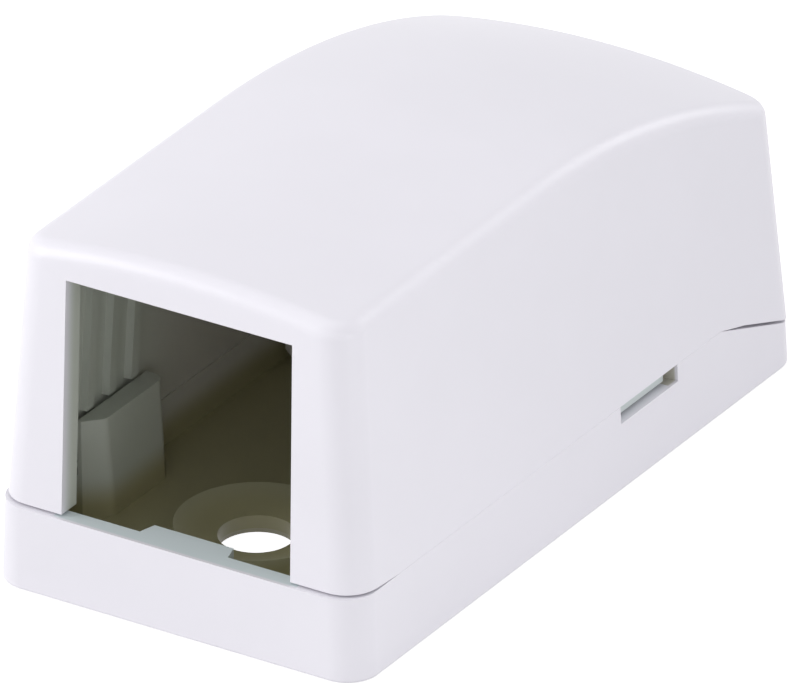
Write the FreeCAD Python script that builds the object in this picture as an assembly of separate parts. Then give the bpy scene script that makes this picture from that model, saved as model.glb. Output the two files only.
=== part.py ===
import FreeCAD, Part
import math
import os

from FreeCAD import Placement, Rotation, Vector

# Surface mount jack box for one snap-in jack: a shallow moulded base that is screwed or stuck to a
# wall, and a moulded cover that snaps down over it. Millimetres. X across, Y from the jack face to
# the rear, Z up. The origin is the centre of the underside.

# The case, at its foot
case_width = 24.4
case_length = 46.6
seam_height = 5.1
foot_rounding = 0.15

# The base: a tray with a raised floor
base_side_draft = 2.4
base_end_draft = 1.2
base_side_wall = 1.6
base_front_wall = 1.15
base_rear_wall = 1.4
base_corner_radius = 2.0
floor_thickness = 1.2
underside_recess = 0.8
inner_corner_radius = 0.8

# The seam falls away towards the rear, so that the cable leaves low
seam_fall_length = 8.3
seam_fall_angle = 19.5
seam_gap_front = 0.14
seam_gap_rear = 0.2
seam_gap_run = 2.5

# The cover: a shell with a crowned top that curves down at the rear
front_step = 0.3
side_step = 0.02
rear_step = 0.05
cover_side_draft = 4.2
cover_front_draft = 2.9
cover_rear_draft = 3.0
cover_wall = 1.5
cover_corner_radius = 2.0
crest_height = 22.2
crest_to_rear = 25.6
front_rise_angle = 0.6
tail_radius = 58.8
crown_radius = 61.5
edge_rounding = 1.1

# The window in the cover's front, which takes the jack's face
window_width = 14.8
window_height = 14.45
window_side_draft = 0.5

# The catch tab on the sill below the window, which the jack's lower lip hooks behind
tab_width = 5.2
tab_taper = 0.3
tab_reach = 1.05
tab_thickness = 1.3

# Two blocks on the base guide the jack's sides
guide_thickness = 1.25
guide_start = 5.6
guide_length = 7.0
guide_rise = 3.05
guide_draft = 2.5
guide_chamfer = 1.0
guide_nose_radius = 0.7
guide_clearance = 0.4

# Ridges on the cover's side walls steady the jack above the guide blocks
ridge_count = 4
ridge_start = 4.25
ridge_pitch = 2.25
ridge_height = 0.45
ridge_land = 0.7
ridge_root = 0.2
ridge_draft = 10.0
ridge_clearance = 0.2

# The screw hole, in a raised boss with a dished top
screw_hole_radius = 2.2
screw_hole_from_front = 8.6
boss_radius = 4.65
boss_height = 1.2
boss_draft = 12.0
dish_depth = 0.8
hole_land = 1.05
boss_core_radius = 3.8

# The latches: two legs on the cover stand inside the base's side walls, behind a release slot
slot_from_rear = 12.95
slot_length = 6.05
slot_height = 1.05
leg_lead = 0.3
leg_length = 4.4
leg_thickness = 1.2
leg_clearance = 0.25
leg_floor_clearance = 0.5
leg_toe = 0.4
leg_rise = 3.0

# A tongue on the cover fills most of each slot, almost flush with the wall
tongue_inset = 0.5
tongue_clearance = 0.2
tongue_rear_gap = 0.75

# The cable leaves through an arch in the cover's rear wall
cable_width = 7.0
cable_height = 7.2
cable_arch_depth = 5.5

# The foam pad and its release liner fill the rear of the recess under the floor
pad_from_rear = 2.6
pad_length = 28.8
pad_side_clearance = 0.4
pad_corner_radius = 1.5
liner_thickness = 0.1

floor_top = underside_recess + floor_thickness
crest_y = case_length - crest_to_rear
fall_start = case_length - seam_fall_length

# How far a cutting solid runs past what it cuts
overlap = 1.0


def slope(degrees):
    """How far a face leans in for each millimetre that it rises."""
    return math.tan(math.radians(degrees))


def drafted_block(half_width, front, rear, lean, z_low, z_high, z_nominal, radius):
    """A block with rounded corners whose faces lean in as they rise.

    Its width and its front and rear hold at z_nominal. The wedge is drawn with its own Y upright
    and its own Z pointing forward, and then turned up.
    """
    side, fore, aft = (slope(angle) for angle in lean)
    foot = z_low - z_nominal
    head = z_high - z_nominal
    block = Part.makeWedge(
        side * foot - half_width, z_low, aft * foot - rear, aft * head - rear,
        side * head - half_width,
        half_width - side * foot, z_high, -front - fore * foot, -front - fore * head,
        half_width - side * head,
    )
    block.rotate(Vector(0, 0, 0), Vector(1, 0, 0), 90)
    upright = [edge for edge in block.Edges if edge.BoundBox.ZLength > (z_high - z_low) / 2]
    return block.makeFillet(radius, upright)


def prism(corners, along):
    """A solid with a flat many-sided section, pushed along a vector."""
    return Part.Face(Part.makePolygon(corners + corners[:1])).extrude(along)


def prism_along_x(points, x_from, x_to):
    """A solid with the given (y, z) section, from one X to another."""
    return prism([Vector(x_from, y, z) for y, z in points], Vector(x_to - x_from, 0, 0))


def prism_along_y(points, y_from, y_to):
    """A solid with the given (x, z) section, from one Y to another."""
    return prism([Vector(x, y_from, z) for x, z in points], Vector(0, y_to - y_from, 0))


def prism_along_z(points, z_from, z_to):
    """A solid with the given (x, y) section, from one Z to another."""
    return prism([Vector(x, y, z_from) for x, y in points], Vector(0, 0, z_to - z_from))


def both_sides(shape):
    """The shape and its mirror image across the middle of the case."""
    return [shape, shape.mirror(Vector(0, 0, 0), Vector(1, 0, 0))]


def seam_z(y):
    """The height of the base's rim: level, then falling to the rear."""
    return seam_height - max(0.0, y - fall_start) * slope(seam_fall_angle)


# Base

def base_outer():
    """The outside of the base, with its rim cut to the seam."""
    lean = (base_side_draft, base_end_draft, base_end_draft)
    block = drafted_block(
        case_width / 2, 0, case_length, lean, 0, seam_height, 0, base_corner_radius
    )
    foot = [edge for edge in block.Edges if edge.BoundBox.ZMax < foot_rounding / 2]
    block = block.makeFillet(foot_rounding, foot)
    past = case_length + overlap
    above_rim = [
        (fall_start, seam_height),
        (past, seam_z(past)),
        (past, seam_height + overlap),
        (fall_start, seam_height + overlap),
    ]
    return block.cut(prism_along_x(above_rim, -case_width, case_width))


def base_hollow(z_low, z_high):
    """The space inside the base's walls between two heights."""
    lean = (base_side_draft, base_end_draft, base_end_draft)
    return drafted_block(
        case_width / 2 - base_side_wall,
        base_front_wall,
        case_length - base_rear_wall,
        lean, z_low, z_high, 0, inner_corner_radius,
    )


def screw_boss():
    """The raised ring round the screw hole, its top dished for the screw's head."""
    top = floor_top + boss_height
    rim = top - dish_depth
    foot_radius = boss_radius + boss_height * slope(boss_draft)
    profile = [
        Vector(0, 0, underside_recess),
        Vector(foot_radius, 0, underside_recess),
        Vector(foot_radius, 0, floor_top),
        Vector(boss_radius, 0, top),
        Vector(screw_hole_radius, 0, rim),
        Vector(0, 0, rim),
    ]
    section = Part.Face(Part.makePolygon(profile + profile[:1]))
    ring = section.revolve(Vector(0, 0, 0), Vector(0, 0, 1), 360)
    ring.translate(Vector(0, screw_hole_from_front, 0))
    return ring


def screw_way():
    """The screw hole and the core that thins the boss from below."""
    at = Vector(0, screw_hole_from_front, 0)
    land_bottom = floor_top + boss_height - dish_depth - hole_land
    hole = Part.makeCylinder(screw_hole_radius, seam_height, at)
    core = Part.makeCylinder(boss_core_radius, land_bottom, at)
    return hole.fuse(core)


def catch_tab():
    """The tab that stands back from the middle of the sill, narrower at its tip."""
    sill_back = base_front_wall + seam_height * slope(base_end_draft)
    in_sill = sill_back - base_front_wall / 2
    tip = tab_width / 2
    root = tip + tab_taper
    plan = [
        (-root, in_sill),
        (root, in_sill),
        (root, sill_back),
        (tip, sill_back + tab_reach),
        (-tip, sill_back + tab_reach),
        (-root, sill_back),
    ]
    return prism_along_z(plan, seam_height - tab_thickness, seam_height)


def guide_block():
    """The right guide block, rooted in the floor and the side wall.

    Above the rim it stands clear of the cover's wall. Its inner face leans out as it rises, and
    its front inner corner is cut back and rounded to lead the jack in.
    """
    top = seam_height + guide_rise
    foot = floor_top - floor_thickness / 2
    back = guide_start + guide_length
    in_wall = case_width / 2 - base_side_wall / 2
    ledge = seam_height - guide_clearance
    upper_outer = cover_inner_x(top) - guide_clearance
    inner = upper_outer - guide_thickness
    section = [
        (inner - (top - foot) * slope(guide_draft), foot),
        (in_wall, foot),
        (in_wall, ledge),
        (upper_outer, ledge),
        (upper_outer, top),
        (inner, top),
    ]
    corner = [
        (inner - overlap, guide_start - overlap),
        (inner + guide_chamfer + overlap, guide_start - overlap),
        (inner - overlap, guide_start + guide_chamfer + overlap),
    ]
    block = prism_along_y(section, guide_start, back)
    block = block.cut(prism_along_z(corner, foot - overlap, top + overlap))
    upright = [edge for edge in block.Edges if edge.BoundBox.ZLength > guide_rise]
    nose = [edge for edge in upright if edge.BoundBox.XMax < inner + guide_chamfer / 2]
    return block.makeFillet(guide_nose_radius, nose)


def release_slot():
    """The slot in the right side wall's rim, where a screwdriver springs the latch."""
    start = case_length - slot_from_rear - slot_length
    inside = case_width / 2 - base_side_wall - overlap
    outside = case_width / 2 + overlap
    corner = Vector(inside, start, seam_height - slot_height)
    return Part.makeBox(outside - inside, slot_length, slot_height + overlap, corner)


def base():
    """The tray with its boss, tab, guide blocks and slots, as one moulding."""
    tray = base_outer()
    tray = tray.cut(base_hollow(floor_top, seam_height + overlap))
    tray = tray.cut(base_hollow(-overlap, underside_recess))
    additions = [screw_boss(), catch_tab()] + both_sides(guide_block())
    tray = tray.fuse(additions).removeSplitter()
    for slot in both_sides(release_slot()):
        tray = tray.cut(slot)
    return tray.cut(screw_way()).removeSplitter()


# Cover

def cover_block(inset, z_low, z_high):
    """The cover's four drafted sides, moved in by a wall's thickness or not at all."""
    side = case_width / 2 - seam_height * slope(base_side_draft) - side_step
    front = seam_height * slope(base_end_draft) + front_step
    rear = case_length - seam_height * slope(base_end_draft) - rear_step
    lean = (cover_side_draft, cover_front_draft, cover_rear_draft)
    radius = max(cover_corner_radius - inset, inner_corner_radius)
    return drafted_block(
        side - inset, front + inset, rear - inset, lean, z_low, z_high, seam_height, radius
    )


def cover_inner_x(z):
    """Half the space between the cover's side walls at one height."""
    outer = case_width / 2 - seam_height * slope(base_side_draft) - side_step
    return outer - cover_wall - (z - seam_height) * slope(cover_side_draft)


def under_crown(drop):
    """All that lies under the crowned top, or under a surface the given distance inside it.

    One arched section runs straight back from the front with a slight rise, and then turns
    down about an axis below the crest.
    """
    depth = crest_height + overlap
    reach = case_width
    radius = crown_radius - drop
    side_z = -crown_radius + math.sqrt(radius**2 - reach**2)
    arch = Part.Arc(
        Vector(-reach, 0, side_z), Vector(0, 0, -drop), Vector(reach, 0, side_z)
    ).toShape()
    below = Part.makePolygon(
        [
            Vector(reach, 0, side_z),
            Vector(reach, 0, -depth),
            Vector(-reach, 0, -depth),
            Vector(-reach, 0, side_z),
        ]
    )
    section = Part.Face(Part.Wire([arch] + below.Edges))
    section.Placement = Placement(
        Vector(0, crest_y, crest_height), Rotation(Vector(1, 0, 0), front_rise_angle)
    )
    rise = math.radians(front_rise_angle)
    forward = Vector(0, -math.cos(rise), -math.sin(rise))
    straight = section.extrude(forward * (crest_y + 2 * overlap))
    up = Vector(0, -math.sin(rise), math.cos(rise))
    hub = Vector(0, crest_y, crest_height) - up * tail_radius
    turn = math.degrees(math.asin((crest_to_rear + 2 * overlap) / (tail_radius - depth)))
    curved = section.revolve(hub, Vector(-1, 0, 0), turn)
    return straight.fuse(curved).removeSplitter()


def top_edges(solid):
    """The edges where the crowned top meets the sides."""
    top = []
    for face in solid.Faces:
        u_low, u_high, v_low, v_high = face.ParameterRange
        normal = face.normalAt((u_low + u_high) / 2, (v_low + v_high) / 2)
        if normal.z > 0.8:
            top.append(face)
    edges = [edge for face in top for edge in face.Edges]
    return [edge for edge in edges if sum(edge.isSame(other) for other in edges) == 1]


def below_seam():
    """Everything under the cover's lower edge, which stands off a little at front and rear."""
    past = case_length + overlap
    level = seam_height
    points = [
        (-overlap, level + seam_gap_front),
        (cover_corner_radius, level + seam_gap_front),
        (cover_corner_radius + seam_gap_run, level),
        (fall_start, level),
        (fall_start + seam_gap_run, seam_z(fall_start + seam_gap_run) + seam_gap_rear),
        (past, seam_z(past) + seam_gap_rear),
        (past, -overlap),
        (-overlap, -overlap),
    ]
    return prism_along_x(points, -case_width, case_width)


def window():
    """The opening for the jack's face. It runs down through the cover's lower edge."""
    top = seam_height + window_height
    half = window_width / 2
    low_half = half + (window_height + overlap) * slope(window_side_draft)
    low = seam_height - overlap
    points = [(-half, top), (half, top), (low_half, low), (-low_half, low)]
    depth = cover_wall + front_step + 2 * overlap
    return prism_along_y(points, -overlap, depth)


def ridges():
    """Upright ridges on the right side wall above the guide block, following its lean."""
    foot = seam_height + guide_rise + ridge_clearance
    height = crest_height - foot
    lean_in = Vector(-height * slope(cover_side_draft), 0, height)
    wall = cover_inner_x(foot)
    in_wall = wall + ridge_root
    crest = wall - ridge_height
    spread = (in_wall - crest) * slope(ridge_draft)
    solids = []
    for number in range(ridge_count):
        near = ridge_start + number * ridge_pitch
        far = near + ridge_land
        plan = [(in_wall, near - spread), (crest, near), (crest, far), (in_wall, far + spread)]
        solids.append(prism([Vector(x, y, foot) for x, y in plan], lean_in))
    return solids


def latch_leg():
    """A leg on the right that hangs from the cover's wall into the base, behind the slot."""
    start = case_length - slot_from_rear - slot_length - leg_lead
    rim_inner = case_width / 2 - base_side_wall - seam_height * slope(base_side_draft)
    outer = rim_inner - leg_clearance
    inner = outer - leg_thickness
    low = floor_top + leg_floor_clearance
    ledge = seam_height + leg_clearance
    high = seam_height + leg_rise
    root_top = high + leg_thickness
    points = [
        (inner, low),
        (outer - leg_toe, low),
        (outer, low + leg_toe),
        (outer, ledge),
        (cover_inner_x(ledge) + cover_wall / 2, ledge),
        (cover_inner_x(root_top) + cover_wall / 2, root_top),
        (cover_inner_x(root_top), root_top),
        (inner, high),
    ]
    return prism_along_y(points, start, start + leg_length)


def slot_tongue():
    """The tongue that hangs in the right release slot, set back from the wall's outer face."""
    slot_rear = case_length - slot_from_rear
    rim_outer = case_width / 2 - seam_height * slope(base_side_draft)
    leg_outer = rim_outer - base_side_wall - leg_clearance
    inside = leg_outer - leg_thickness / 2
    outside = rim_outer - tongue_inset
    start = slot_rear - slot_length + tongue_clearance
    end = slot_rear - tongue_rear_gap
    low = seam_height - slot_height + tongue_clearance
    high = seam_height + leg_clearance
    corner = Vector(inside, start, low)
    return Part.makeBox(outside - inside, end - start, high - low, corner)


def cable_arch():
    """The way out for the cable: upright sides and a round head, through the rear wall."""
    half = cable_width / 2
    low = seam_z(case_length) - overlap
    spring = seam_z(case_length) + cable_height - half
    y = case_length - cable_arch_depth
    left = Vector(-half, y, spring)
    right = Vector(half, y, spring)
    sides = Part.makePolygon([left, Vector(-half, y, low), Vector(half, y, low), right])
    head = Part.Arc(right, Vector(0, y, spring + half), left).toShape()
    section = Part.Face(Part.Wire(sides.Edges + [head]))
    return section.extrude(Vector(0, cable_arch_depth + overlap, 0))


def cover():
    """The crowned shell with its ridges, legs, tongues, window and arch, as one moulding."""
    high = crest_height + 2 * overlap
    outside = cover_block(0, 0, high).common(under_crown(0)).removeSplitter()
    outside = outside.makeFillet(edge_rounding, top_edges(outside))
    inside = cover_block(cover_wall, -overlap, high).common(under_crown(cover_wall))
    shell = outside.cut(inside)
    inner_work = []
    for ridge in ridges():
        inner_work += both_sides(ridge.common(outside))
    shell = shell.fuse(inner_work).removeSplitter()
    shell = shell.cut(below_seam())
    shell = shell.fuse(both_sides(latch_leg()) + both_sides(slot_tongue())).removeSplitter()
    return shell.cut(window()).cut(cable_arch()).removeSplitter()


# Pad and liner

def pad_layer(z_low, z_high):
    """One layer of the pad's rounded outline, inside the recess."""
    half = case_width / 2 - base_side_wall - pad_side_clearance
    rear = case_length - pad_from_rear
    return drafted_block(
        half, rear - pad_length, rear, (0, 0, 0), z_low, z_high, z_low, pad_corner_radius
    )


def foam_pad():
    """The adhesive foam, against the underside of the floor."""
    return pad_layer(liner_thickness, underside_recess)


def release_liner():
    """The paper that covers the foam's outer face, level with the foot of the case."""
    return pad_layer(0, liner_thickness)


def export(node, shape):
    """Centre the case on the origin, test the shape and write it."""
    shape = shape.copy()
    shape.translate(Vector(0, -case_length / 2, 0))
    if not shape.isValid() or len(shape.Solids) != 1:
        raise RuntimeError(node + " is not one valid solid")
    solid = shape.Solids[0]
    solid.exportStep("parts/" + node + ".step")
    print(node, "volume", round(solid.Volume, 1), "mm3,", len(solid.Faces), "faces")


os.makedirs("parts", exist_ok=True)
export("base", base())
export("cover", cover())
export("foam_pad", foam_pad())
export("release_liner", release_liner())
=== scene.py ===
import math

import bpy
import numpy as np
from mathutils import Matrix, Vector


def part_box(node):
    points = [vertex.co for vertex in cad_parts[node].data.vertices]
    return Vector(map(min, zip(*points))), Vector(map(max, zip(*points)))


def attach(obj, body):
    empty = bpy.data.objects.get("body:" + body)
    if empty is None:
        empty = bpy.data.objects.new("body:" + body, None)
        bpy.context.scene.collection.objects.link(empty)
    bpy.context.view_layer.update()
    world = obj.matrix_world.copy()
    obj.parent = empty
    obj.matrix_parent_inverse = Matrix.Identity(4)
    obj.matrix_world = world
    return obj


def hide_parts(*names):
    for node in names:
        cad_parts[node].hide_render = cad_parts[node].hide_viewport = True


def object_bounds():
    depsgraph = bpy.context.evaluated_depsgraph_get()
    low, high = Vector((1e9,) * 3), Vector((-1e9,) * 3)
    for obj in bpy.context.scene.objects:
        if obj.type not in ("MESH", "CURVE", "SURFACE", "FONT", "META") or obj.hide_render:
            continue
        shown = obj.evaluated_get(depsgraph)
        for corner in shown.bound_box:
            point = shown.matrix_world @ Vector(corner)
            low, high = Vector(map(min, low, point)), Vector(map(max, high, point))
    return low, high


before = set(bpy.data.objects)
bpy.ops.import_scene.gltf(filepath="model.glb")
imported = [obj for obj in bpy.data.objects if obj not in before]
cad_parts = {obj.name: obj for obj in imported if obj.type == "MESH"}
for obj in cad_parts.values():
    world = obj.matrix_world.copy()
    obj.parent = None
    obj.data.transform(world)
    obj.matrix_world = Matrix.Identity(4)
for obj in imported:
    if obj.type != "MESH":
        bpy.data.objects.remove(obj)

mm = 0.001
cadLow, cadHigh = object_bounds()
coverLow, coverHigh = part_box("cover")
baseLow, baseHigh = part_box("base")
bpy.context.scene.view_settings.view_transform = "Standard"
print("frame: nodes", sorted(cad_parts))


def linearColour(hexValue):
    # sRGB to linear: c/12.92 below 0.04045, otherwise ((c + 0.055) / 1.055) ** 2.4
    parts = [int(hexValue[i:i + 2], 16) / 255 for i in (1, 3, 5)]
    return [c / 12.92 if c <= 0.04045 else ((c + 0.055) / 1.055) ** 2.4 for c in parts] + [1.0]


def newMaterial(name):
    material = bpy.data.materials.new(name)
    material.use_nodes = True
    material.node_tree.nodes.clear()
    return material, material.node_tree


def addNode(tree, kind, inputs=(), **settings):
    # one node; its inputs come in order, or by name or number in a dictionary, and a node or a
    # socket among them is linked, while anything else is the input's own value
    node = tree.nodes.new(kind)
    for key, value in settings.items():
        setattr(node, key, value)
    for key, value in (inputs.items() if isinstance(inputs, dict) else enumerate(inputs)):
        if isinstance(value, bpy.types.Node):
            value = value.outputs[0]
        if isinstance(value, bpy.types.NodeSocket):
            tree.links.new(value, node.inputs[key])
        else:
            node.inputs[key].default_value = value
    return node


def setMaterial(piece, material):
    piece.data.materials.clear()
    piece.data.materials.append(material)


# ABS, injection moulded in a finely sparked tool: a soft satin sheen with no visible grain.

absPlastic = {
    "outerColour": "#E7E5EB",      # cool white, a touch of lavender
    "paintedHalfShadeColour": "#D0DADC",       # painted half shade: half-lit ledges read a little green
    "paintedShadeColour": "#A7A27E",      # painted shade: the unlit inside reads as an olive grey, though the plastic is white
    "paintedShadeDepth": (0.75 * mm, 1.4 * mm),  # depth over which the outer colour gives way to the painted shade
    "lit": (-14.0 * mm, -5.0 * mm),  # painted window light: where the inside loses the light from the window
    "upperShare": 0.46,            # how far the painted shade shows above the floor
    "mottle": 0.012,               # how much the colour drifts over the moulding
    "mottleSize": 9.0 * mm,
    "mottleSpan": (0.3, 0.7),      # the noise that makes the drift lies mostly between these
    "grainSize": 0.12 * mm,        # sparked grain, drawn coarser than it is so that it shows
    "grainHeight": 0.0012 * mm,
    "roughness": (0.35, 0.42),     # drifts with the flow of the melt
    "ior": 1.53,
}


def absMaterial(name, settings, masks):
    # the outer colour gives way to the painted half shade and then to the painted shade, by the
    # piece's masks
    material, tree = newMaterial(name)
    place = addNode(tree, "ShaderNodeTexCoord").outputs["Object"]
    drift = addNode(tree, "ShaderNodeTexNoise",
                    {"Vector": place, "Scale": 1 / settings["mottleSize"], "Detail": 3.0})
    lowest, highest = 1 - settings["mottle"], 1 + settings["mottle"]
    value = addNode(tree, "ShaderNodeMapRange",
                    (drift.outputs["Fac"], *settings["mottleSpan"], lowest, highest))
    gloss = addNode(tree, "ShaderNodeMapRange",
                    (drift.outputs["Fac"], *settings["mottleSpan"], *settings["roughness"]))
    # painted shade and painted half shade: how far each shows, from the piece's masks
    paintedShadeMask, paintedHalfShadeMask = masks(tree, place, settings)
    # the outer colour with the painted half shade laid over it
    outerAndHalfShade = addNode(tree, "ShaderNodeMix",
                      {"Factor": paintedHalfShadeMask, 6: linearColour(settings["outerColour"]),
                       7: linearColour(settings["paintedHalfShadeColour"])}, data_type="RGBA")
    colour = addNode(tree, "ShaderNodeMix",
                     {"Factor": paintedShadeMask, 6: outerAndHalfShade.outputs[2],
                      7: linearColour(settings["paintedShadeColour"])}, data_type="RGBA")
    tinted = addNode(tree, "ShaderNodeHueSaturation",
                     {"Color": colour.outputs[2], "Value": value})
    grain = addNode(tree, "ShaderNodeTexNoise",
                    {"Vector": place, "Scale": 1 / settings["grainSize"], "Detail": 2.0})
    bump = addNode(tree, "ShaderNodeBump",
                   {"Height": grain.outputs["Fac"], "Distance": settings["grainHeight"],
                    "Strength": 1.0})
    shader = addNode(tree, "ShaderNodeBsdfPrincipled",
                     {"Base Color": tinted, "Roughness": gloss, "IOR": settings["ior"],
                      "Normal": bump})
    addNode(tree, "ShaderNodeOutputMaterial", {"Surface": shader})
    return material


def whereAll(tree, *masks):
    # 1 where every mask is 1, and a part of it where a share is among them: all multiplied
    whole = masks[0]
    for mask in masks[1:]:
        whole = addNode(tree, "ShaderNodeMath", (whole, mask), operation="MULTIPLY")
    return whole


def whereAny(tree, *masks):
    # the strongest of the masks
    whole = masks[0]
    for mask in masks[1:]:
        whole = addNode(tree, "ShaderNodeMath", (whole, mask), operation="MAXIMUM")
    return whole


def underNearest(tree, *depths):
    # the depth under the nearest of several faces: the least of their depths
    least = depths[0]
    for depth in depths[1:]:
        least = addNode(tree, "ShaderNodeMath", (least, depth), operation="MINIMUM")
    return least


def underPlane(tree, place, outward, foot):
    # depth under a leaning face: where it stands at height 0, less the place measured outward
    reach = addNode(tree, "ShaderNodeVectorMath", (place, outward), operation="DOT_PRODUCT")
    return addNode(tree, "ShaderNodeMath", (foot, reach.outputs["Value"]), operation="SUBTRACT")


def arcDrop(tree, along, radius):
    # a flat arc has dropped by along^2 / 2R
    square = addNode(tree, "ShaderNodeMath", (along, along), operation="MULTIPLY")
    return addNode(tree, "ShaderNodeMath", (square, 0.5 / radius), operation="MULTIPLY")


def lean(degrees):
    return math.tan(math.radians(degrees))


slot = {
    "start": cadHigh.y - 19.0 * mm, "end": cadHigh.y - 12.95 * mm, "height": 1.05 * mm,
    "paintedShadeDepth": (0.1 * mm, 0.3 * mm),  # how soon the slot's faces take the painted half shade
    "gap": 0.75 * mm,              # the open end of the slot, past the tongue
    "tongueShare": 0.35,           # how far the tongue takes the painted shade
    "gapShare": 0.6,               # how far the open end, a recess, takes the painted shade
    "floorShare": 0.25,            # how far the slot's floor takes the painted half shade
    "slack": 0.01 * mm,            # keeps the slot's own faces within its masks
    "underRim": 0.02 * mm,         # how far below the rim the tongue begins
}


def besideSlot(tree, y):
    # 1 along the slots' length, 0 elsewhere
    halfway = (slot["start"] + slot["end"]) / 2
    return addNode(tree, "ShaderNodeMath", (y, halfway, slot["end"] - halfway + slot["slack"]),
                   operation="COMPARE")


def nearWindow(tree, y, settings):
    # painted window light: 1 from the front to as far as the window's light reaches, then down to
    # 0
    return addNode(tree, "ShaderNodeMapRange", (y, *settings["lit"], 1.0, 0.0),
                   interpolation_type="SMOOTHSTEP")


shell = {
    "sideDraft": 4.2, "frontDraft": 2.9, "rearDraft": 3.0,   # degrees that the faces lean in
    "rim": 5.1 * mm,               # the seam's height over all but the rear
    "window": (7.6 * mm, 19.7 * mm),  # the window's reveal lies within this half width and height
    "reveal": (0.02 * mm, 1.1 * mm),  # depth over which the reveal takes the painted shade
    "revealEnd": 3.0 * mm,         # and the depth where it ends
    "crestToRear": 25.6 * mm, "crownRadius": 61.5 * mm, "tailRadius": 58.8 * mm,
}


def coverMasks(tree, place, settings):
    # how far the painted shade and the painted half shade show. The painted shade goes by the
    # depth under the nearest of the leaning side, front and rear and the crown, whose height is
    # crest - behind^2 / 2R - across^2 / 2R; the painted half shade takes the window's reveal, the
    # inside near it, as painted window light, and the tongues in the slots
    side, front, rear = (lean(shell[key]) for key in ("sideDraft", "frontDraft", "rearDraft"))
    x, y, z = addNode(tree, "ShaderNodeSeparateXYZ", (place,)).outputs
    mirrored = addNode(tree, "ShaderNodeVectorMath", (place,), operation="ABSOLUTE")
    underSide = underPlane(tree, mirrored, (1, 0, side), coverHigh.x + coverLow.z * side)
    underFront = underPlane(tree, place, (0, -1, front), shell["rim"] * front - coverLow.y)
    underRear = underPlane(tree, place, (0, 1, rear), coverHigh.y + coverLow.z * rear)
    behind = addNode(tree, "ShaderNodeMath", (y, cadHigh.y - shell["crestToRear"]),
                     operation="SUBTRACT", use_clamp=True)   # 0 in front of the crest
    drop = addNode(tree, "ShaderNodeMath",
                   (arcDrop(tree, behind, shell["tailRadius"]),
                    arcDrop(tree, x, shell["crownRadius"])), operation="ADD")
    underCrest = addNode(tree, "ShaderNodeMath", (coverHigh.z, z), operation="SUBTRACT")
    underTop = addNode(tree, "ShaderNodeMath", (underCrest, drop), operation="SUBTRACT")
    depth = underNearest(tree, underSide, underFront, underRear, underTop)

    windowHalf, windowTop = shell["window"]
    reveal = whereAll(
        tree,
        addNode(tree, "ShaderNodeMapRange", (underFront, *shell["reveal"]),
                interpolation_type="SMOOTHSTEP"),
        addNode(tree, "ShaderNodeMath", (x, 0.0, windowHalf), operation="COMPARE"),
        addNode(tree, "ShaderNodeMath", (z, windowTop), operation="LESS_THAN"),
        addNode(tree, "ShaderNodeMath", (underFront, shell["revealEnd"]), operation="LESS_THAN"))
    tongue = whereAll(
        tree, besideSlot(tree, y),
        addNode(tree, "ShaderNodeMapRange", (depth, *slot["paintedShadeDepth"]),
                interpolation_type="SMOOTHSTEP"),
        addNode(tree, "ShaderNodeMath", (z, shell["rim"] - slot["underRim"]),
                operation="LESS_THAN"))
    # painted shade: deep under the faces, in the window's reveal and on the tongues
    paintedShadeMask = whereAny(
        tree, reveal, whereAll(tree, tongue, slot["tongueShare"]),
        addNode(tree, "ShaderNodeMapRange", (depth, *settings["paintedShadeDepth"]),
                interpolation_type="SMOOTHSTEP"))
    # painted window light on the inside near the window
    near = whereAll(tree, paintedShadeMask, nearWindow(tree, y, settings))
    return whereAll(tree, paintedShadeMask, settings["upperShare"]), whereAny(tree, tongue, reveal, near)


tray = {
    "sideDraft": 2.4, "endDraft": 1.2,   # degrees that the walls lean in
    "underFloor": 1.6 * mm,        # above this height the tray's inside begins
    "sill": 2.45 * mm,             # how far back the sill and its tab reach
    "tabThickness": 1.5 * mm,
    "sillTop": 3.0 * mm,           # the sill's upward face lies above this
    "sillBeyond": 0.4 * mm,        # how far it shows past the window on each side
    "overFloor": (2.6 * mm, 4.6 * mm),  # height over which the walls' painted shade grows lighter than the floor's
    "hole": -14.7 * mm,            # the screw hole's place along the tray
    "bore": 2.35 * mm,             # and just over its radius
    "boreShare": 0.85,             # how far the bore takes the painted shade
}


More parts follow.
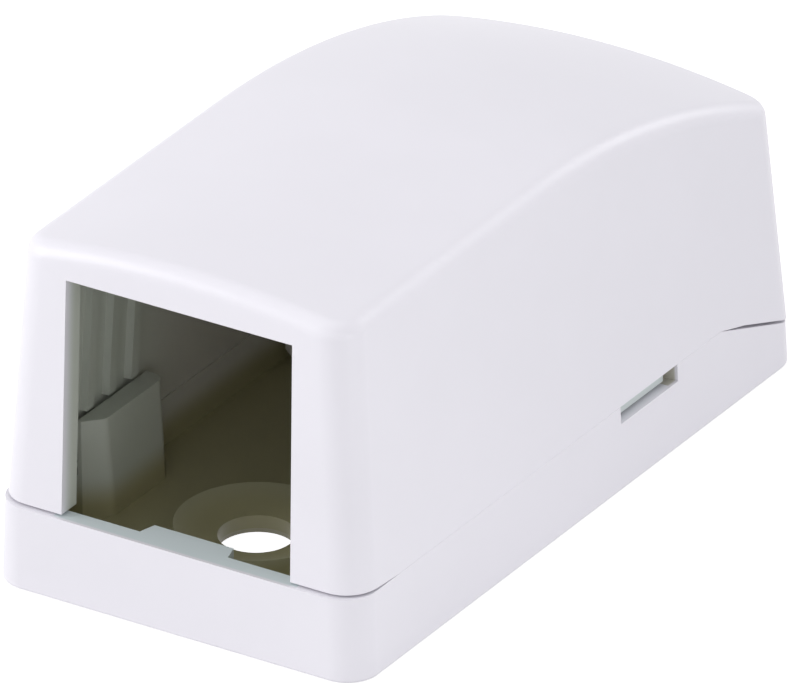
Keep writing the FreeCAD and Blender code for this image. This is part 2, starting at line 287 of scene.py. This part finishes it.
def baseMasks(tree, place, settings):
    # how far the painted shade and the painted half shade show. The painted shade goes by the
    # depth under the leaning walls, over the tray's floor, and takes the screw hole's bore and the
    # slots' open ends; the painted half shade takes the sill, the inside near the window and the
    # slots
    x, y, z = addNode(tree, "ShaderNodeSeparateXYZ", (place,)).outputs
    mirrored = addNode(tree, "ShaderNodeVectorMath", (place,), operation="ABSOLUTE")
    side = underPlane(tree, mirrored, (1, 0, lean(tray["sideDraft"])), baseHigh.x)
    end = underPlane(tree, mirrored, (0, 1, lean(tray["endDraft"])), baseHigh.y)
    inTray = whereAll(
        tree,
        addNode(tree, "ShaderNodeMapRange", (underNearest(tree, side, end), *settings["paintedShadeDepth"]),
                interpolation_type="SMOOTHSTEP"),
        addNode(tree, "ShaderNodeMath", (z, tray["underFloor"]), operation="GREATER_THAN"))
    clearOfTab = whereAny(
        tree,
        addNode(tree, "ShaderNodeMath", (y, baseLow.y + tray["sill"]), operation="GREATER_THAN"),
        addNode(tree, "ShaderNodeMath", (z, shell["rim"] - tray["tabThickness"]),
                operation="LESS_THAN"))
    # painted shade: strongest on the floor, easing off up the walls
    lighter = addNode(tree, "ShaderNodeMapRange",
                      (z, *tray["overFloor"], 1.0, settings["upperShare"]),
                      interpolation_type="SMOOTHSTEP")

    inPlan = addNode(tree, "ShaderNodeVectorMath", (place, (1, 1, 0)), operation="MULTIPLY")
    fromHole = addNode(tree, "ShaderNodeVectorMath", (inPlan, (0, tray["hole"], 0)),
                       operation="DISTANCE").outputs["Value"]
    bore = addNode(tree, "ShaderNodeMath", (fromHole, tray["bore"]), operation="LESS_THAN")

    inSlot = whereAll(
        tree, besideSlot(tree, y),
        addNode(tree, "ShaderNodeMath", (z, shell["rim"] - slot["height"] - slot["slack"]),
                operation="GREATER_THAN"),
        addNode(tree, "ShaderNodeMapRange", (side, *slot["paintedShadeDepth"]),
                interpolation_type="SMOOTHSTEP"))
    pastTongue = addNode(tree, "ShaderNodeMath", (y, slot["end"] - slot["gap"]),
                         operation="GREATER_THAN")

    onSill = whereAll(
        tree,
        addNode(tree, "ShaderNodeMath", (z, tray["sillTop"]), operation="GREATER_THAN"),
        addNode(tree, "ShaderNodeMath", (y, 0.0), operation="LESS_THAN"),
        addNode(tree, "ShaderNodeMath", (x, 0.0, shell["window"][0] + tray["sillBeyond"]),
                operation="COMPARE"),
        addNode(tree, "ShaderNodeMapRange", (end, *slot["paintedShadeDepth"]),
                interpolation_type="SMOOTHSTEP"))

    # painted shade in the tray, the bore and the slots' open ends
    paintedShadeMask = whereAny(tree, whereAll(tree, inTray, clearOfTab, lighter),
                      whereAll(tree, bore, tray["boreShare"]),
                      whereAll(tree, inSlot, pastTongue, slot["gapShare"]))
    # painted half shade, and painted window light near the window
    paintedHalfShadeMask = whereAny(tree, whereAll(tree, inTray, nearWindow(tree, y, settings)), onSill,
                    whereAll(tree, inSlot, slot["floorShare"]))
    return paintedShadeMask, paintedHalfShadeMask


coverAbs = absMaterial("ABS cover, satin moulded", absPlastic, coverMasks)
baseAbs = absMaterial("ABS base, satin moulded", absPlastic, baseMasks)

finish = {
    "weldDistance": 0.0005 * mm, "creaseAngle": math.radians(24),
    "flatWeight": 100,             # the large flats keep their own normals
}


def smoothShading(piece):
    # loose triangles are welded and split again at creases, and their normals follow the flats
    piece.data.polygons.foreach_set("use_smooth", np.ones(len(piece.data.polygons), bool))
    weld = piece.modifiers.new("weld", "WELD")
    weld.merge_threshold = finish["weldDistance"]
    split = piece.modifiers.new("creases", "EDGE_SPLIT")
    split.split_angle = finish["creaseAngle"]
    split.use_edge_sharp = False
    normals = piece.modifiers.new("normals", "WEIGHTED_NORMAL")
    normals.weight = finish["flatWeight"]
    normals.keep_sharp = False


for nodeName, material in (("cover", coverAbs), ("base", baseAbs)):
    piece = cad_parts[nodeName]
    setMaterial(piece, material)
    smoothShading(piece)
print("shells: finished")


# Closed-cell polyethylene foam, skived to a sheet: dull off-white, and pitted by the cut cells.

pad = {
    "corner": 1.5 * mm, "turns": 16, "sideRings": 9,
    "bulge": 0.12 * mm,            # how far the foam's edge swells at mid height
    "colour": "#D9D8D2", "roughness": 0.85,
    "cell": 0.25 * mm, "cellDepth": 0.05 * mm,
    "shade": (0.82, 1.04),         # painted shade in the cut cells' pits, from the middle of a cell to its wall
}

# Waxed release paper: a smooth buff sheet with a slight gloss and a cloudy fibre.

liner = {
    "corner": 1.5 * mm, "turns": 16, "sideRings": 2, "bulge": 0.0,
    "colour": "#E3D9BE", "roughness": 0.32, "ior": 1.45,
    "fibre": 0.35 * mm, "shade": (0.93, 1.05),
}


def layeredPad(name, nodeName, settings):
    # a surface of two parameters: t climbs the side from 0 to 1, and the turn goes round a
    # rectangle with quarter-circle corners; each ring is moved in by bulge * (1 - sin(pi t)), so
    # the edge swells at mid height, and each flat face is a fan about its middle
    low, high = (np.array(corner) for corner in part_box(nodeName))
    turns, rings = settings["turns"], settings["sideRings"]
    angles = np.radians(np.concatenate([np.linspace(q, q + 90, turns) for q in (0, 90, 180, 270)]))
    outward = np.stack([np.cos(angles), np.sin(angles)], 1)
    signs = np.repeat([(1, 1), (-1, 1), (-1, -1), (1, -1)], turns, axis=0)
    t = np.linspace(0, 1, rings)[:, None, None]
    inset = settings["bulge"] * (1 - np.sin(np.pi * t))
    radius = settings["corner"] - inset / 2
    half = (high - low)[:2] / 2 - inset
    plan = (low + high)[:2] / 2 + outward * radius + signs * (half - radius)
    levels = np.broadcast_to(low[2] + t * (high[2] - low[2]), plan.shape[:2] + (1,))
    middles = np.array([[*(low + high)[:2] / 2, level] for level in (low[2], high[2])])
    points = np.vstack([np.concatenate([plan, levels], 2).reshape(-1, 3), middles])
    count = len(angles)
    ring, at = np.divmod(np.arange((rings - 1) * count), count)
    beside = (at + 1) % count
    sides = np.stack([at + ring * count, beside + ring * count,
                      beside + (ring + 1) * count, at + (ring + 1) * count], 1)
    at, beside = at[:count], beside[:count]
    top = (rings - 1) * count
    under = np.stack([beside, at, np.full(count, rings * count)], 1)
    over = np.stack([at + top, beside + top, np.full(count, rings * count + 1)], 1)
    mesh = bpy.data.meshes.new(name)
    mesh.from_pydata(points.tolist(), [], sides.tolist() + under.tolist() + over.tolist())
    mesh.update()
    piece = bpy.data.objects.new(name, mesh)
    bpy.context.scene.collection.objects.link(piece)
    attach(piece, "base")
    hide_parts(nodeName)
    return piece


def foamMaterial():
    material, tree = newMaterial("polyethylene foam, skived")
    place = addNode(tree, "ShaderNodeTexCoord").outputs["Object"]
    cells = addNode(tree, "ShaderNodeTexVoronoi", {"Vector": place, "Scale": 1 / pad["cell"]})
    bump = addNode(tree, "ShaderNodeBump",
                   {"Height": cells.outputs["Distance"], "Distance": pad["cellDepth"],
                    "Strength": 1.0})
    # painted shade: darker in the middle of each cell's pit
    shade = addNode(tree, "ShaderNodeMapRange",
                    (cells.outputs["Distance"], 0.0, 1.0, *pad["shade"]))
    tinted = addNode(tree, "ShaderNodeHueSaturation",
                     {"Color": linearColour(pad["colour"]), "Value": shade})
    shader = addNode(tree, "ShaderNodeBsdfPrincipled",
                     {"Base Color": tinted, "Roughness": pad["roughness"], "Normal": bump})
    addNode(tree, "ShaderNodeOutputMaterial", {"Surface": shader})
    return material


def linerMaterial():
    material, tree = newMaterial("release paper, waxed")
    place = addNode(tree, "ShaderNodeTexCoord").outputs["Object"]
    fibres = addNode(tree, "ShaderNodeTexNoise",
                     {"Vector": place, "Scale": 1 / liner["fibre"], "Detail": 6.0})
    shade = addNode(tree, "ShaderNodeMapRange",
                    (fibres.outputs["Fac"], 0.0, 1.0, *liner["shade"]))
    tinted = addNode(tree, "ShaderNodeHueSaturation",
                     {"Color": linearColour(liner["colour"]), "Value": shade})
    shader = addNode(tree, "ShaderNodeBsdfPrincipled",
                     {"Base Color": tinted, "Roughness": liner["roughness"],
                      "IOR": liner["ior"]})
    addNode(tree, "ShaderNodeOutputMaterial", {"Surface": shader})
    return material


foamPiece = layeredPad("foam_pad_soft", "foam_pad", pad)
setMaterial(foamPiece, foamMaterial())
linerPiece = layeredPad("release_liner_sheet", "release_liner", liner)
setMaterial(linerPiece, linerMaterial())
print("pad and liner: made")


stage = {
    "floorHalf": 0.6, "floorColour": "#E0E0E0",
    "floorGlow": 0.5,              # what the camera sees added to the card, outside the case
    "paintedLightBeneath": 1.0,             # painted light: the card glows brighter beneath the case, in its shadow, where it shows only through the hole
    "hiddenInset": 2.0 * mm,       # how far inside the case's edge that begins
    "worldStrength": 0.62, "worldColour": "#F6F6FA",
}
plainWhite = (1.0, 1.0, 1.0, 1.0)


def makeFloor():
    half = stage["floorHalf"]
    corners = [(-half, -half, 0), (half, -half, 0), (half, half, 0), (-half, half, 0)]
    mesh = bpy.data.meshes.new("floor")
    mesh.from_pydata(corners, [], [(0, 1, 2, 3)])
    floor = bpy.data.objects.new("floor", mesh)
    bpy.context.scene.collection.objects.link(floor)
    material, tree = newMaterial("studio floor, white card")
    card = addNode(tree, "ShaderNodeBsdfDiffuse", {"Color": linearColour(stage["floorColour"])})
    place = addNode(tree, "ShaderNodeTexCoord").outputs["Object"]
    x, y = addNode(tree, "ShaderNodeSeparateXYZ", (place,)).outputs[:2]
    # painted light: the card beneath the case, where the case's shadow falls
    hidden = whereAll(
        tree,
        addNode(tree, "ShaderNodeMath", (x, 0.0, cadHigh.x - stage["hiddenInset"]),
                operation="COMPARE"),
        addNode(tree, "ShaderNodeMath", (y, 0.0, cadHigh.y - stage["hiddenInset"]),
                operation="COMPARE"))
    strength = addNode(tree, "ShaderNodeMapRange",
                       (hidden, 0.0, 1.0, stage["floorGlow"], stage["paintedLightBeneath"]))
    glow = addNode(tree, "ShaderNodeEmission", {"Color": plainWhite, "Strength": strength})
    path = addNode(tree, "ShaderNodeLightPath").outputs
    seen = whereAny(tree, path["Is Camera Ray"], path["Is Glossy Ray"],
                    path["Is Transmission Ray"])
    lift = addNode(tree, "ShaderNodeMixShader", {0: seen, 2: glow})
    both = addNode(tree, "ShaderNodeAddShader", (card, lift))
    addNode(tree, "ShaderNodeOutputMaterial", {"Surface": both})
    mesh.materials.append(material)


def makeWorld():
    world = bpy.data.worlds.new("studio")
    bpy.context.scene.world = world
    world.use_nodes = True
    tree = world.node_tree
    tree.nodes.clear()
    path = addNode(tree, "ShaderNodeLightPath").outputs
    seen = whereAny(tree, path["Is Camera Ray"], path["Is Glossy Ray"])
    tent = addNode(tree, "ShaderNodeBackground",
                   {"Color": linearColour(stage["worldColour"]),
                    "Strength": stage["worldStrength"]})
    white = addNode(tree, "ShaderNodeBackground", {"Color": plainWhite, "Strength": 1.0})
    mix = addNode(tree, "ShaderNodeMixShader", (seen, tent, white))
    addNode(tree, "ShaderNodeOutputWorld", {"Surface": mix})


def outwards(azimuth, elevation):
    # from the object towards a lamp or the camera: azimuth turns from the front to the right
    a, e = math.radians(azimuth), math.radians(elevation)
    return Vector((math.sin(a) * math.cos(e), -math.cos(a) * math.cos(e), math.sin(e)))


# angles in degrees, distances and sizes in metres

lamps = {
    "key, front left": {"azimuth": -50, "elevation": 22, "distance": 0.4, "size": 0.28,
                        "watts": 0.75},
    "fill, front right": {"azimuth": 35, "elevation": 20, "distance": 0.4, "size": 0.3,
                          "watts": 0.1},
    "side, near right": {"azimuth": 70, "elevation": 10, "distance": 0.12, "size": 0.06,
                         "watts": 0.0225},
    "top": {"azimuth": 0, "elevation": 86, "distance": 0.4, "size": 0.4, "watts": 0.35},
    "rim, behind right": {"azimuth": 160, "elevation": 25, "distance": 0.4, "size": 0.2,
                          "watts": 0.26},
}


def makeLamp(name, settings):
    back = outwards(settings["azimuth"], settings["elevation"])
    light = bpy.data.lights.new(name, "AREA")
    light.shape = "DISK"
    light.size = settings["size"]
    light.energy = settings["watts"]
    lamp = bpy.data.objects.new(name, light)
    lamp.location = back * settings["distance"]
    lamp.rotation_euler = (-back).to_track_quat("-Z", "Y").to_euler()
    bpy.context.scene.collection.objects.link(lamp)


cameraSettings = {
    "azimuth": 32.78, "elevation": 27.57, "roll": -0.62,   # degrees
    "distance": 1014.65 * mm, "lens": 817.7, "sensor": 36.0, "clip": (0.01, 10.0),
    "lookAt": (0.0, -1.3 * mm, 9.0 * mm),
    "aside": 0.796 * mm, "below": 0.650 * mm,     # how far the view's centre lies off that point
}


def makeCamera():
    # the camera's axes are level x cos(roll) + upright x sin(roll), and what is square to that
    s = cameraSettings
    back = outwards(s["azimuth"], s["elevation"])
    turn, roll = math.radians(s["azimuth"]), math.radians(s["roll"])
    level = Vector((math.cos(turn), math.sin(turn), 0.0))
    right = level * math.cos(roll) + back.cross(level) * math.sin(roll)
    up = back.cross(right)
    camera = bpy.data.cameras.new("camera")
    camera.lens = s["lens"]
    camera.sensor_width = s["sensor"]
    camera.clip_start, camera.clip_end = s["clip"]
    holder = bpy.data.objects.new("camera", camera)
    centre = Vector(s["lookAt"]) + right * s["aside"] - up * s["below"]
    holder.location = centre + back * s["distance"]
    holder.rotation_mode = "QUATERNION"
    holder.rotation_quaternion = Matrix((right, up, back)).transposed().to_quaternion()
    bpy.context.scene.collection.objects.link(holder)
    bpy.context.scene.camera = holder


makeFloor()
makeWorld()
for lampName, lampSettings in lamps.items():
    makeLamp(lampName, lampSettings)
makeCamera()
print("stage, light and camera: set")
